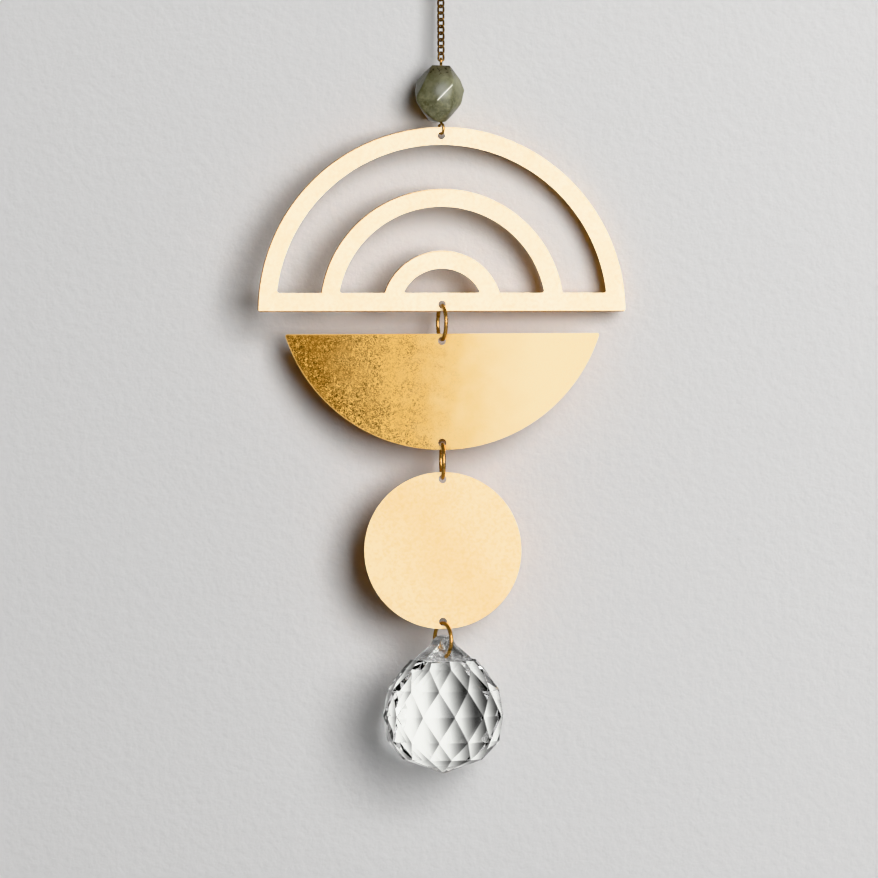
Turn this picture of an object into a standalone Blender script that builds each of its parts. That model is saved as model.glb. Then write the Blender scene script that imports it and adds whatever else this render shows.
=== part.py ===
"""Hanging suncatcher: three brass plates, a ground stone bead and a faceted glass ball.

Everything hangs in one line from a wire ring at the top. Below the ring come a fine
curb chain, a wire pin through a stone bead, an arch plate with three curved windows,
a half-moon plate, a round plate and a glass ball. Wire rings join the plates.

Units are metres and +Z is up. The origin is the inside top of the hanging ring, where
the hook bears. The plates' front faces look towards -Y.
"""

import math

import bmesh
import bpy
from mathutils import Matrix, Vector

MM = 0.001

# Hanging ring, whose flat side faces the front so that it sits on a nail or hook
HANG_RING_OUTER = 8.0 * MM
HANG_RING_WIRE = 0.8 * MM

# Curb chain: oval links, each twisted so that its neighbours lie the same way
LINK_COUNT = 11
LINK_WIRE = 0.5 * MM
LINK_INNER_LENGTH = 1.77 * MM
LINK_INNER_WIDTH = 0.9 * MM
LINK_TWIST = math.radians(45)
LINK_GAP = 0.06 * MM

# Wire pin through the bead, with an eye at each end
PIN_WIRE = 0.65 * MM
TOP_EYE_OUTER = 2.05 * MM
LOW_EYE_OUTER = 3.2 * MM
LOW_EYE_TURN = math.radians(29)
TOP_EYE_END = math.radians(-30)
LOW_EYE_END = math.radians(-58)
EYE_TO_BEND = math.radians(250)
EYE_GAP = 0.05 * MM

# Stone bead: corners of the ground nugget as (turn from the front, reach, height).
# The turn is in degrees and grows towards +X; reach and height are in millimetres.
BEAD_BORE = 1.1 * MM
BEAD_TOP = 7.15 * MM
BEAD_BOTTOM = 7.3 * MM
BEAD_CORNERS = (
    (-40, 3.4, 7.15), (44, 3.2, 7.0), (128, 3.2, 6.9), (-128, 3.0, 7.15),
    (-100, 4.5, 5.4), (-104, 6.3, 3.6),
    (36, 5.6, 3.3), (88, 4.95, 3.4), (142, 5.6, 3.0), (-150, 5.9, 2.6),
    (-92, 6.6, 0.9), (28, 6.3, 2.3), (93, 5.95, 0.9), (178, 6.0, 0.2),
    (-62, 7.45, -1.7), (-12, 5.75, -1.9), (84, 5.35, -2.5), (140, 5.7, -2.2), (-140, 5.9, -2.0),
    (-56, 6.1, -4.25), (30, 4.9, -4.6), (96, 3.9, -4.3), (172, 4.6, -5.0), (-115, 4.9, -4.9),
    (-104, 3.0, -6.95), (-24, 2.6, -7.3), (84, 1.2, -7.3), (-160, 2.2, -7.3),
)

# Plates
PLATE_THICKNESS = 1.0 * MM
HOLE_RADIUS = 1.0 * MM
EDGE_HOLE_INSET = 1.85 * MM
ARCH_TOP_HOLE_INSET = 2.2 * MM

# Arch plate: radii of the three curved bands, all about the middle of the lower edge
ARCH_OUTER = 47.0 * MM
WIDE_WINDOW = (42.5 * MM, 31.25 * MM)
MIDDLE_WINDOW = (26.75 * MM, 15.5 * MM)
SMALL_WINDOW_RADIUS = 11.0 * MM
FOOT_BAR = 4.75 * MM
ARCH_CORNER = 0.7 * MM
ARCH_TURN = math.radians(6)
WINDOW_CORNER = 0.6 * MM
INNER_CORNER = 0.15 * MM

# Half-moon plate: a slice of a disc, hanging with its straight edge upwards
HALF_MOON_RADIUS = 42.0 * MM
HALF_MOON_CHORD = 12.4 * MM
HALF_MOON_CORNER = 0.5 * MM
HALF_MOON_TURN = math.radians(-3)

# Round plate
ROUND_RADIUS = 20.0 * MM

# Wire rings between the plates, each turned a little from edge-on to the front
RING_OUTER = 9.7 * MM
RING_WIRE = 1.0 * MM
RING_RIDE = 0.2 * MM
UPPER_RING_TURN = math.radians(14)
MIDDLE_RING_TURN = math.radians(5)
LOWER_RING_TURN = math.radians(29)

# Glass ball: corner rings as (radius, height above the widest part, half a step round)
FACETS_ROUND = 12
BALL_TURN = math.radians(-19)
BALL_RINGS = (
    (10.5 * MM, -11.1 * MM, False),
    (14.3 * MM, -6.5 * MM, True),
    (15.6 * MM, 0.0, False),
    (14.3 * MM, 6.5 * MM, True),
    (10.6 * MM, 11.9 * MM, False),
    (8.4 * MM, 14.2 * MM, False),
)
BALL_POINT = -14.85 * MM

# Moulded cap on the ball, with two ground flats and a hole for the lower ring
CAP_PROFILE = (
    (0.0, 12.5 * MM),
    (7.8 * MM, 12.5 * MM),
    (7.8 * MM, 14.1 * MM),
    (3.2 * MM, 18.0 * MM),
    (2.6 * MM, 19.2 * MM),
    (1.6 * MM, 20.1 * MM),
    (0.0, 20.4 * MM),
)
CAP_SIDES = 24
CAP_SHELF = 13.9 * MM
CAP_FLAT_LOW = 2.95 * MM
CAP_FLAT_HIGH = 1.7 * MM
CAP_HOLE_RADIUS = 1.15 * MM
CAP_HOLE_BELOW_RING = 3.85 * MM
RING_ABOVE_BALL = 19.1 * MM

# Faceting of round shapes, and the length of the cutters that pass right through
HOLE_SIDES = 24
CUTTER_LENGTH = 24 * MM


def clear_scene():
    """Remove whatever objects the file holds."""
    for obj in list(bpy.data.objects):
        bpy.data.objects.remove(obj, do_unlink=True)


def make_material(name, colour, roughness, metallic, transmission=0.0):
    """One Principled material with the piece's own colour and finish."""
    material = bpy.data.materials.new(name)
    material.use_nodes = True
    shader = material.node_tree.nodes["Principled BSDF"]
    shader.inputs["Base Color"].default_value = (*colour, 1.0)
    shader.inputs["Roughness"].default_value = roughness
    shader.inputs["Metallic"].default_value = metallic
    shader.inputs["Transmission Weight"].default_value = transmission
    material.diffuse_color = (*colour, 1.0)
    return material


def link_object(name, data, material):
    """Put mesh or curve data in the scene as a named object."""
    obj = bpy.data.objects.new(name, data)
    bpy.context.scene.collection.objects.link(obj)
    if material is not None and not data.materials:
        data.materials.append(material)
    return obj


def mesh_from(bm, name):
    """Close off a bmesh with outward faces and return it as a mesh."""
    bmesh.ops.recalc_face_normals(bm, faces=bm.faces)
    mesh = bpy.data.meshes.new(name)
    bm.to_mesh(mesh)
    bm.free()
    return mesh


def arc(radius, start, end, steps, centre=(0.0, 0.0)):
    """Points along an arc in the plate's plane, from one angle to another."""
    points = []
    for i in range(steps + 1):
        angle = start + (end - start) * i / steps
        points.append((centre[0] + radius * math.cos(angle), centre[1] + radius * math.sin(angle)))
    return points


def corner_angle(radius, chord, corner):
    """Angle of a corner rounding's centre, where an arc meets a level line."""
    return math.asin((chord + corner) / (radius - corner))


def slice_outline(radius, chord, corner, steps):
    """Part of a disc above a level line, with its two corners rounded."""
    turn = corner_angle(radius, chord, corner)
    reach = (radius - corner) * math.cos(turn)
    right = arc(corner, -math.pi / 2, turn, 5, (reach, chord + corner))
    crown = arc(radius, turn, math.pi - turn, steps)
    left = arc(corner, math.pi - turn, 1.5 * math.pi, 5, (-reach, chord + corner))
    return right + crown[1:-1] + left


def window_outline(outer, inner, floor, steps):
    """Curved window between two arcs, standing on a level line; its inner corners are tighter."""
    outline = slice_outline(outer, floor, WINDOW_CORNER, steps)
    turn = math.asin((floor + INNER_CORNER) / (inner + INNER_CORNER))
    reach = (inner + INNER_CORNER) * math.cos(turn)
    left = arc(INNER_CORNER, -math.pi / 2, -turn, 3, (-reach, floor + INNER_CORNER))
    crown = arc(inner, math.pi - turn, turn, steps * 2 // 3)
    right = arc(INNER_CORNER, math.pi + turn, 1.5 * math.pi, 3, (reach, floor + INNER_CORNER))
    return outline + left + crown[1:-1] + right


def slab(name, outline, openings, depth):
    """Flat slab in the X-Z plane, with openings right through it."""
    bm = bmesh.new()
    edges = []
    for loop in (outline, *openings):
        verts = [bm.verts.new((x, -depth / 2, z)) for x, z in loop]
        edges += [bm.edges.new(pair) for pair in zip(verts, verts[1:] + verts[:1])]
    bmesh.ops.triangle_fill(bm, use_beauty=True, use_dissolve=False, edges=edges)
    raised = bmesh.ops.extrude_face_region(bm, geom=bm.faces[:])
    back = [item for item in raised["geom"] if isinstance(item, bmesh.types.BMVert)]
    bmesh.ops.translate(bm, verts=back, vec=(0.0, depth, 0.0))
    return mesh_from(bm, name)


def cut(target, mesh, location=(0.0, 0.0, 0.0), turn=0.0):
    """Take a closed shape away from an object with an exact Boolean."""
    cutter = link_object(mesh.name, mesh, None)
    cutter.location = location
    cutter.rotation_euler = (0.0, 0.0, turn)
    cutter.hide_render = True
    cutter.display_type = "WIRE"
    modifier = target.modifiers.new("cut", "BOOLEAN")
    modifier.operation = "DIFFERENCE"
    modifier.solver = "EXACT"
    modifier.object = cutter
    return cutter


def smooth(obj, degrees=30):
    """Shade the round faces smooth and keep the real edges sharp."""
    obj.data.shade_smooth()
    obj.data.set_sharp_from_angle(angle=math.radians(degrees))


def plate(name, outline, windows, holes, height, material, turn=0.0):
    """Stamped plate with its windows and ring holes, hung at a height."""
    rims = [arc(HOLE_RADIUS, 0.0, 2 * math.pi, HOLE_SIDES, (0.0, z))[:-1] for z in holes]
    mesh = slab(name, outline, (*windows, *rims), PLATE_THICKNESS)
    obj = link_object(name, mesh, material)
    obj.location = (0.0, 0.0, height)
    obj.rotation_euler = (0.0, 0.0, turn)
    smooth(obj)
    return obj


def wire_curve(name, points, wire, closed, material):
    """Round wire along a line of points."""
    curve = bpy.data.curves.new(name, "CURVE")
    curve.dimensions = "3D"
    curve.bevel_depth = wire / 2
    curve.bevel_resolution = 2
    curve.use_fill_caps = not closed
    spline = curve.splines.new("POLY")
    spline.points.add(len(points) - 1)
    for spline_point, point in zip(spline.points, points):
        spline_point.co = (*point, 1.0)
    spline.use_cyclic_u = closed
    spline.use_smooth = True
    curve.materials.append(material)
    return curve


def wire_ring(name, outer, wire, centre_height, turn, material, steps=32):
    """Closed wire ring that stands upright, turned from edge-on to the front."""
    rim = arc((outer - wire) / 2, 0.0, 2 * math.pi, steps)[:-1]
    curve = wire_curve(name, [(0.0, y, z) for y, z in rim], wire, True, material)
    obj = link_object(name, curve, material)
    obj.location = (0.0, 0.0, centre_height)
    obj.rotation_euler = (0.0, 0.0, turn)
    return obj


def link_points(low_turn, high_turn):
    """Centre line of one oval link, twisted from its low end to its high end."""
    end_radius = (LINK_INNER_WIDTH + LINK_WIRE) / 2
    straight = (LINK_INNER_LENGTH - LINK_INNER_WIDTH) / 2
    top = arc(end_radius, 0.0, math.pi, 8, (0.0, straight))
    bottom = arc(end_radius, math.pi, 2 * math.pi, 8, (0.0, -straight))
    half_height = straight + end_radius
    points = []
    for x, z in top + bottom:
        share = (z + half_height) / (2 * half_height)
        turn = low_turn + (high_turn - low_turn) * share
        points.append((x * math.cos(turn), x * math.sin(turn), z))
    return points


def build_chain(first_height, material):
    """Row of links; the end links are opened to take the ring and the pin's eye."""
    pitch = LINK_INNER_LENGTH - LINK_GAP
    plain = wire_curve("chain_link", link_points(-LINK_TWIST, LINK_TWIST), LINK_WIRE, True, material)
    first = wire_curve("first_link", link_points(-LINK_TWIST, -math.pi / 2), LINK_WIRE, True, material)
    last = wire_curve("last_link", link_points(0.0, LINK_TWIST), LINK_WIRE, True, material)
    for i in range(LINK_COUNT):
        data = {0: first, LINK_COUNT - 1: last}.get(i, plain)
        obj = link_object(f"chain_link_{i + 1:02d}", data, material)
        obj.location = (0.0, 0.0, first_height - i * pitch)
    return first_height - (LINK_COUNT - 1) * pitch


def eye_points(outer, open_angle, steps):
    """Loop of a pin's upper eye and its bend down into the shank, in a plane."""
    radius = (outer - PIN_WIRE) / 2
    loop = arc(radius, open_angle, EYE_TO_BEND, steps)
    bend = -loop[-1][0] / (1.0 + math.cos(EYE_TO_BEND))
    centre = (-bend, loop[-1][1] + bend * math.sin(EYE_TO_BEND))
    return loop + arc(bend, EYE_TO_BEND - math.pi, 0.0, 5, centre)[1:]


def build_pin(top_eye_height, low_eye_height, material):
    """One wire: the upper eye, the shank through the bead and the lower eye."""
    upper = eye_points(TOP_EYE_OUTER, TOP_EYE_END, 20)
    lower = eye_points(LOW_EYE_OUTER, LOW_EYE_END, 24)
    points = [(0.0, u, top_eye_height + z) for u, z in upper]
    sin_turn, cos_turn = math.sin(LOW_EYE_TURN), math.cos(LOW_EYE_TURN)
    for u, z in reversed(lower):
        points.append((-u * sin_turn, u * cos_turn, low_eye_height - z))
    curve = wire_curve("bead_pin", points, PIN_WIRE, False, material)
    return link_object("bead_pin", curve, material)


def hull(bm, points):
    """Closed convex shape around a set of points."""
    verts = [bm.verts.new(point) for point in points]
    result = bmesh.ops.convex_hull(bm, input=verts, use_existing_faces=False)
    inside = set(result["geom_interior"]) | set(result["geom_unused"])
    bmesh.ops.delete(bm, geom=[v for v in inside if isinstance(v, bmesh.types.BMVert)], context="VERTS")


def build_bead(centre_height, material):
    """Ground stone nugget with a bore from end to end."""
    bm = bmesh.new()
    corners = []
    for turn, reach, height in BEAD_CORNERS:
        angle = math.radians(turn)
        corners.append(Vector((reach * math.sin(angle), -reach * math.cos(angle), height)) * MM)
    hull(bm, corners)
    obj = link_object("stone_bead", mesh_from(bm, "stone_bead"), material)
    obj.location = (0.0, 0.0, centre_height)
    bore = bmesh.new()
    bmesh.ops.create_cone(
        bore, cap_ends=True, segments=HOLE_SIDES, radius1=BEAD_BORE / 2, radius2=BEAD_BORE / 2,
        depth=CUTTER_LENGTH)
    cut(obj, mesh_from(bore, "bead_bore"), obj.location)
    return obj


def build_ball(equator_height, material):
    """Faceted glass ball with its moulded cap, ground flats and ring hole."""
    bm = bmesh.new()
    corners = [Vector((0.0, 0.0, BALL_POINT))]
    step = 2 * math.pi / FACETS_ROUND
    for radius, height, half_step in BALL_RINGS:
        for i in range(FACETS_ROUND):
            angle = BALL_TURN + step * (i + (0.5 if half_step else 0.0))
            corners.append(Vector((radius * math.sin(angle), -radius * math.cos(angle), height)))
    hull(bm, corners)
    obj = link_object("crystal_ball", mesh_from(bm, "crystal_ball"), material)
    obj.location = (0.0, 0.0, equator_height)
    cap = link_object("ball_cap", turned_mesh("ball_cap", CAP_PROFILE, CAP_SIDES), None)
    cap.location = obj.location
    cap.hide_render = True
    cap.display_type = "WIRE"
    join = obj.modifiers.new("cap", "BOOLEAN")
    join.operation = "UNION"
    join.solver = "EXACT"
    join.object = cap
    for side in (-1, 1):
        cut(obj, flat_cutter(side), obj.location, LOWER_RING_TURN)
    hole = bmesh.new()
    bmesh.ops.create_cone(
        hole, cap_ends=True, segments=HOLE_SIDES, radius1=CAP_HOLE_RADIUS,
        radius2=CAP_HOLE_RADIUS, depth=CUTTER_LENGTH, matrix=Matrix.Rotation(math.pi / 2, 4, "X"))
    hole_height = equator_height + RING_ABOVE_BALL - CAP_HOLE_BELOW_RING
    cut(obj, mesh_from(hole, "ball_hole"), (0.0, 0.0, hole_height), LOWER_RING_TURN)
    return obj


def turned_mesh(name, profile, sides):
    """Closed shape turned from (radius, height) pairs that start and end on the axis."""
    bm = bmesh.new()
    rows = []
    for radius, height in profile:
        if radius == 0.0:
            rows.append([bm.verts.new((0.0, 0.0, height))])
            continue
        ring = arc(radius, 0.0, 2 * math.pi, sides)[:-1]
        rows.append([bm.verts.new((x, y, height)) for x, y in ring])
    for low, high in zip(rows, rows[1:]):
        for i in range(sides):
            j = (i + 1) % sides
            corners = [low[i % len(low)], low[j % len(low)], high[j % len(high)], high[i % len(high)]]
            bm.faces.new(list(dict.fromkeys(corners)))
    return mesh_from(bm, name)


def flat_cutter(side):
    """Block that grinds one leaning flat on the cap and leaves a level shelf below it."""
    far = CUTTER_LENGTH / 2
    high = CUTTER_LENGTH
    lean = (CAP_FLAT_LOW - CAP_FLAT_HIGH) / (CAP_PROFILE[-1][1] - CAP_SHELF)
    near_high = CAP_FLAT_LOW - lean * (high - CAP_SHELF)
    corners = [
        (CAP_FLAT_LOW, CAP_SHELF), (far, CAP_SHELF), (far, high), (near_high, high)]
    bm = bmesh.new()
    left = [bm.verts.new((-far, side * y, z)) for y, z in corners]
    right = [bm.verts.new((far, side * y, z)) for y, z in corners]
    bm.faces.new(left)
    bm.faces.new(list(reversed(right)))
    for i in range(4):
        j = (i + 1) % 4
        bm.faces.new((left[i], right[i], right[j], left[j]))
    return mesh_from(bm, f"ball_flat_{1 if side < 0 else 2}")


def mirror_down(outline):
    """Turn an outline upside down."""
    return [(x, -z) for x, z in reversed(outline)]


def build():
    """Hang every piece below the one before it, from the ring at the top downwards."""
    clear_scene()
    pale_brass = make_material("pale_brass", (0.93, 0.80, 0.56), 0.38, 1.0)
    gold_brass = make_material("gold_brass", (0.86, 0.64, 0.33), 0.35, 1.0)
    wire_brass = make_material("wire_brass", (0.62, 0.40, 0.14), 0.25, 1.0)
    stone = make_material("grey_green_stone", (0.30, 0.31, 0.23), 0.25, 0.0)
    glass = make_material("clear_glass", (0.97, 0.98, 0.98), 0.02, 0.0, 1.0)

    ring_radius = HANG_RING_OUTER / 2
    wire_ring("hanging_ring", HANG_RING_OUTER, HANG_RING_WIRE, HANG_RING_WIRE - ring_radius,
              math.pi / 2, wire_brass)
    ring_floor = -(HANG_RING_OUTER - 2 * HANG_RING_WIRE)
    first_link = ring_floor + LINK_GAP - LINK_INNER_LENGTH / 2
    last_link = build_chain(first_link, wire_brass)

    eye_top = last_link - LINK_INNER_LENGTH / 2 + LINK_GAP
    top_eye = eye_top - (TOP_EYE_OUTER - 2 * PIN_WIRE) / 2
    bead_height = top_eye - TOP_EYE_OUTER / 2 - EYE_GAP - BEAD_TOP
    low_eye = bead_height - BEAD_BOTTOM - EYE_GAP - LOW_EYE_OUTER / 2
    build_bead(bead_height, stone)
    build_pin(top_eye, low_eye, wire_brass)

    hole_top = low_eye - LOW_EYE_OUTER / 2 + PIN_WIRE + RING_RIDE
    arch_base = hole_top - HOLE_RADIUS + ARCH_TOP_HOLE_INSET - ARCH_OUTER
    arch_holes = (ARCH_OUTER - ARCH_TOP_HOLE_INSET, EDGE_HOLE_INSET)
    windows = (
        window_outline(*WIDE_WINDOW, FOOT_BAR, 48),
        window_outline(*MIDDLE_WINDOW, FOOT_BAR, 36),
        slice_outline(SMALL_WINDOW_RADIUS, FOOT_BAR, WINDOW_CORNER, 20),
    )
    arch = slice_outline(ARCH_OUTER, 0.0, ARCH_CORNER, 64)
    plate("arch_plate", arch, windows, arch_holes, arch_base, pale_brass, ARCH_TURN)

    ring_drop = RING_OUTER - 2 * RING_WIRE - 2 * RING_RIDE
    edge_margin = EDGE_HOLE_INSET - HOLE_RADIUS
    plate_gap = ring_drop - 2 * edge_margin
    ring_below_edge = ring_drop / 2 - edge_margin

    wire_ring("upper_ring", RING_OUTER, RING_WIRE, arch_base - ring_below_edge,
              UPPER_RING_TURN, wire_brass)
    moon_top = arch_base - plate_gap
    moon_centre = moon_top + HALF_MOON_CHORD
    moon_base = moon_centre - HALF_MOON_RADIUS
    moon = mirror_down(slice_outline(HALF_MOON_RADIUS, HALF_MOON_CHORD, HALF_MOON_CORNER, 60))
    moon_holes = (-HALF_MOON_CHORD - EDGE_HOLE_INSET, -HALF_MOON_RADIUS + EDGE_HOLE_INSET)
    plate("half_moon_plate", moon, (), moon_holes, moon_centre, gold_brass, HALF_MOON_TURN)

    wire_ring("middle_ring", RING_OUTER, RING_WIRE, moon_base - ring_below_edge,
              MIDDLE_RING_TURN, wire_brass)
    round_centre = moon_base - plate_gap - ROUND_RADIUS
    round_base = round_centre - ROUND_RADIUS
    disc = arc(ROUND_RADIUS, 0.0, 2 * math.pi, 80)[:-1]
    round_holes = (ROUND_RADIUS - EDGE_HOLE_INSET, EDGE_HOLE_INSET - ROUND_RADIUS)
    plate("round_plate", disc, (), round_holes, round_centre, gold_brass)

    lower_ring = round_base - ring_below_edge
    wire_ring("lower_ring", RING_OUTER, RING_WIRE, lower_ring, LOWER_RING_TURN, wire_brass)
    build_ball(lower_ring - RING_ABOVE_BALL, glass)


build()
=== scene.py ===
# %% [markdown]
# # A suncatcher of brass, stone and cut glass
#
# The object hangs in one line: a wire ring, a fine curb chain, a ground stone bead on a wire
# pin, an arch plate with curved windows, a half-moon plate, a round plate and a faceted glass
# ball. The solid model of it is loaded first, and every piece made below takes its place from
# that model. Lengths are metres, so a millimetre is written as MM.

import math
from math import radians

import bmesh
import bpy
from mathutils import Matrix, Vector


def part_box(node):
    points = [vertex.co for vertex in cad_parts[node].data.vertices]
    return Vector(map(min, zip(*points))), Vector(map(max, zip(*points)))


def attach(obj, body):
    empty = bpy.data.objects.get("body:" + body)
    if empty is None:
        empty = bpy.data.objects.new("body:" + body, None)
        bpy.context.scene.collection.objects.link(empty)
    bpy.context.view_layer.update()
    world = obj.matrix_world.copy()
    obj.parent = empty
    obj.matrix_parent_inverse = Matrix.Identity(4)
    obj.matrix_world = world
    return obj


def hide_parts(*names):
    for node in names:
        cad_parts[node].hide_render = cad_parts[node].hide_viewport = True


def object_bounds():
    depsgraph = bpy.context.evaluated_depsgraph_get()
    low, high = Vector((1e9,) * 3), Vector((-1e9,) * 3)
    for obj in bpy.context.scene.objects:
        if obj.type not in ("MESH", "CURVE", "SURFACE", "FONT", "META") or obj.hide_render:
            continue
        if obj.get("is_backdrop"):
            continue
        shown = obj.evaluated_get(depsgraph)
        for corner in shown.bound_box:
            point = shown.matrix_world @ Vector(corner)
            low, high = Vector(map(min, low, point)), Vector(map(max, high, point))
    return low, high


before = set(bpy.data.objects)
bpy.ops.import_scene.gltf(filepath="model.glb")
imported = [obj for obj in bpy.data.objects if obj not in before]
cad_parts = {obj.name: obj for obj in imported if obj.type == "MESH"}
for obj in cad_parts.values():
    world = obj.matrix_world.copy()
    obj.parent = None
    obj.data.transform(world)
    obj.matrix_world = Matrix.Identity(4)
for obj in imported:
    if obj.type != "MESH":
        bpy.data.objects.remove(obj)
cad_box = [list(corner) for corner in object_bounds()]
MM = 0.001
print("solid pieces:", len(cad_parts))


# %% [markdown]
# Node trees are long to write out one link at a time. These helpers add a node with its
# settings and inputs in one line, so that a tree reads from top to bottom like a recipe. They
# add to the tree that was begun last, and serve geometry trees and shader trees alike.

# %% Helpers for node trees
bench = {}


def begin(tree):
    """Lay a tree on the bench, for the helpers to add to."""
    bench["tree"] = tree


def link(socket, end):
    bench["tree"].links.new(socket, end)


def add(kind, inputs=None, **settings):
    """Add a node, change its settings, and fill or link its inputs."""
    node = bench["tree"].nodes.new(kind)
    for name, value in settings.items():
        setattr(node, name, value)
    for name, value in (inputs or {}).items():
        if isinstance(value, bpy.types.NodeSocket):
            link(value, node.inputs[name])
        else:
            node.inputs[name].default_value = value
    return node


def made(kind, inputs=None, **settings):
    """Add a node and give its first output."""
    return add(kind, inputs, **settings).outputs[0]


def calc(operation, a, b=0.0, c=0.0, clamp=False):
    """Do one sum with numbers and give its result."""
    return made("ShaderNodeMath", {0: a, 1: b, 2: c}, operation=operation, use_clamp=clamp)


def times(a, b):
    return calc("MULTIPLY", a, b)


def plus(a, b):
    return calc("ADD", a, b)


def minus(a, b):
    return calc("SUBTRACT", a, b)


def vcalc(operation, a, b=(0.0, 0.0, 0.0)):
    """Do one sum with vectors and give its result, a number or a vector."""
    node = add("ShaderNodeVectorMath", {0: a, 1: b}, operation=operation)
    return node.outputs["Value" if operation in ("LENGTH", "DISTANCE", "DOT_PRODUCT") else 0]


def from_axes(**axes):
    """Make a vector from the numbers given for x, y and z."""
    return made("ShaderNodeCombineXYZ", {axis.upper(): value for axis, value in axes.items()})


def axes_of(socket):
    """Split a vector into its X, Y and Z."""
    return add("ShaderNodeSeparateXYZ", {0: socket}).outputs


def spread(value, low, high, to_low=0.0, to_high=1.0):
    """Map a value from one range to another, easing in and out, and stop at the ends."""
    return made("ShaderNodeMapRange", {
        "Value": value, "From Min": low, "From Max": high, "To Min": to_low, "To Max": to_high,
    }, interpolation_type="SMOOTHSTEP")


SOCKETS = {
    float: "NodeSocketFloat", int: "NodeSocketInt", "vector": "NodeSocketVector",
    "material": "NodeSocketMaterial", "shape": "NodeSocketGeometry",
}


def new_group(name, inputs, output="Geometry"):
    """Begin a group with one output; an input is given by its first value or its kind."""
    grows = output == "Geometry"
    tree = bpy.data.node_groups.new(name, "GeometryNodeTree" if grows else "ShaderNodeTree")
    for label, start in inputs.items():
        plain = not isinstance(start, str)
        socket = SOCKETS[type(start) if plain else start]
        item = tree.interface.new_socket(label, in_out="INPUT", socket_type=socket)
        if plain:
            item.default_value = start
    socket = SOCKETS["shape" if grows else float]
    tree.interface.new_socket(output, in_out="OUTPUT", socket_type=socket)
    take = tree.nodes.new("NodeGroupInput").outputs
    give = tree.nodes.new("NodeGroupOutput").inputs[output]
    begin(tree)
    return tree, take, give


def show_group(group):
    print("group:", group.name, [item.name for item in group.interface.items_tree])


def use_group(group, inputs):
    """Place a group in the tree on the bench with its own values, and give its output."""
    return made(group.bl_idname.replace("Tree", "Group"), inputs, node_tree=group)


# %% [markdown]
# Some effects come back in several finishes, so each is a group that gives out a mask, to be
# used for colour, for roughness or for bump. A mottle is cloudy noise with its contrast
# raised, for tarnish, stone and plaster.

# %% Group: mottle
def build_mottle():
    """Cloudy mask: size of the clouds in metres, and where it turns from 0 to 1."""
    tree, take, give = new_group("mottle", {
        "Vector": "vector", "Cloud Size": 1 * MM, "Detail": 3.0, "Start": 0.4, "End": 0.6,
    }, "Mask")
    clouds = made("ShaderNodeTexNoise", {
        "Vector": take["Vector"], "Detail": take["Detail"], "Roughness": 0.6,
        "Scale": calc("DIVIDE", 1.0, take["Cloud Size"])})
    link(spread(clouds, take["Start"], take["End"]), give)
    return tree


def cloudy(place, size, detail, start, end):
    """Use the mottle in a finish."""
    return use_group(mottle, {
        "Vector": place, "Cloud Size": size, "Detail": detail, "Start": start, "End": end})


mottle = build_mottle()
show_group(mottle)


# %% [markdown]
# A brushed grain is noise drawn out along one direction, for plates that were rubbed with an
# abrasive pad.

# %% Group: brushed grain
def build_grain():
    """Fine lines: their width and their length up and down the plate, in metres."""
    tree, take, give = new_group("brushed grain", {
        "Vector": "vector", "Width": 0.3 * MM, "Length": 3 * MM}, "Height")
    across = calc("DIVIDE", 1.0, take["Width"])
    along = calc("DIVIDE", 1.0, take["Length"])
    drawn = vcalc("MULTIPLY", take["Vector"], from_axes(x=across, y=across, z=along))
    lines = made("ShaderNodeTexNoise", {
        "Vector": drawn, "Scale": 1.0, "Detail": 2.0, "Roughness": 0.5})
    link(lines, give)
    return tree


grain = build_grain()
show_group(grain)


# %% [markdown]
# The plates were only rubbed on their front. Their backs are as they came from the rolling
# mill, a deeper colour and a little duller, and the light between them and the wall takes on
# that colour. This group finds the back: it turns the coordinates with the plate, so that
# depth is measured square to it.

# %% Group: back of a plate
def build_back():
    """1 on the back face of a plate that is turned about the vertical, 0 elsewhere."""
    tree, take, give = new_group("plate back", {
        "Vector": "vector", "Turn": 0.0, "Half Thickness": 0.5 * MM}, "Mask")
    own = made("ShaderNodeVectorRotate", {
        "Vector": take["Vector"], "Angle": times(take["Turn"], -1.0),
    }, rotation_type="Z_AXIS")
    start = times(take["Half Thickness"], 0.7)
    end = times(take["Half Thickness"], 0.95)
    link(spread(axes_of(own)["Y"], start, end), give)
    return tree


plate_back = build_back()
show_group(plate_back)


# %% [markdown]
# Every finish starts from one Principled shader. Its constant values are set straight on its
# own sockets, and only what changes over the surface is linked in.

# %% Helpers for finishes
def new_finish(name, colour, roughness, metallic=0.0, **plain):
    """Begin a material; give it, the inputs of its shader and its coordinates."""
    material = bpy.data.materials.new(name)
    material.use_nodes = True
    material.diffuse_color = (*colour, 1.0)
    begin(material.node_tree)
    shader = material.node_tree.nodes["Principled BSDF"].inputs
    plain |= {"Base Color": (*colour, 1.0), "Roughness": roughness, "Metallic": metallic}
    for label, value in plain.items():
        shader[label.replace("_", " ")].default_value = value
    return material, shader, add("ShaderNodeTexCoord").outputs["Object"]


def blend(share, one, other):
    """Mix two colours; each is a plain colour or a socket."""
    pair = {6: one, 7: other}
    for index, colour in pair.items():
        if not isinstance(colour, bpy.types.NodeSocket):
            pair[index] = (*colour, 1.0)
    return add("ShaderNodeMix", {0: share, **pair}, data_type="RGBA").outputs[2]


def bump(height, depth):
    """Turn a height mask into a surface normal; depth is in metres."""
    return made("ShaderNodeBump", {"Height": height, "Distance": depth, "Strength": 1.0})


def centred(place, height, lean=0.0, turn=0.0):
    """Move a pattern to a piece's own middle, lean it in the plates' plane, and turn it."""
    return made("ShaderNodeMapping", {
        "Vector": place, "Location": (0.0, 0.0, -height), "Rotation": (0.0, lean, turn)})


def reach(socket):
    """Distance from the middle, in the upright plane that the plates hang in."""
    return vcalc("LENGTH", vcalc("MULTIPLY", socket, (1.0, 0.0, 1.0)))


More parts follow.
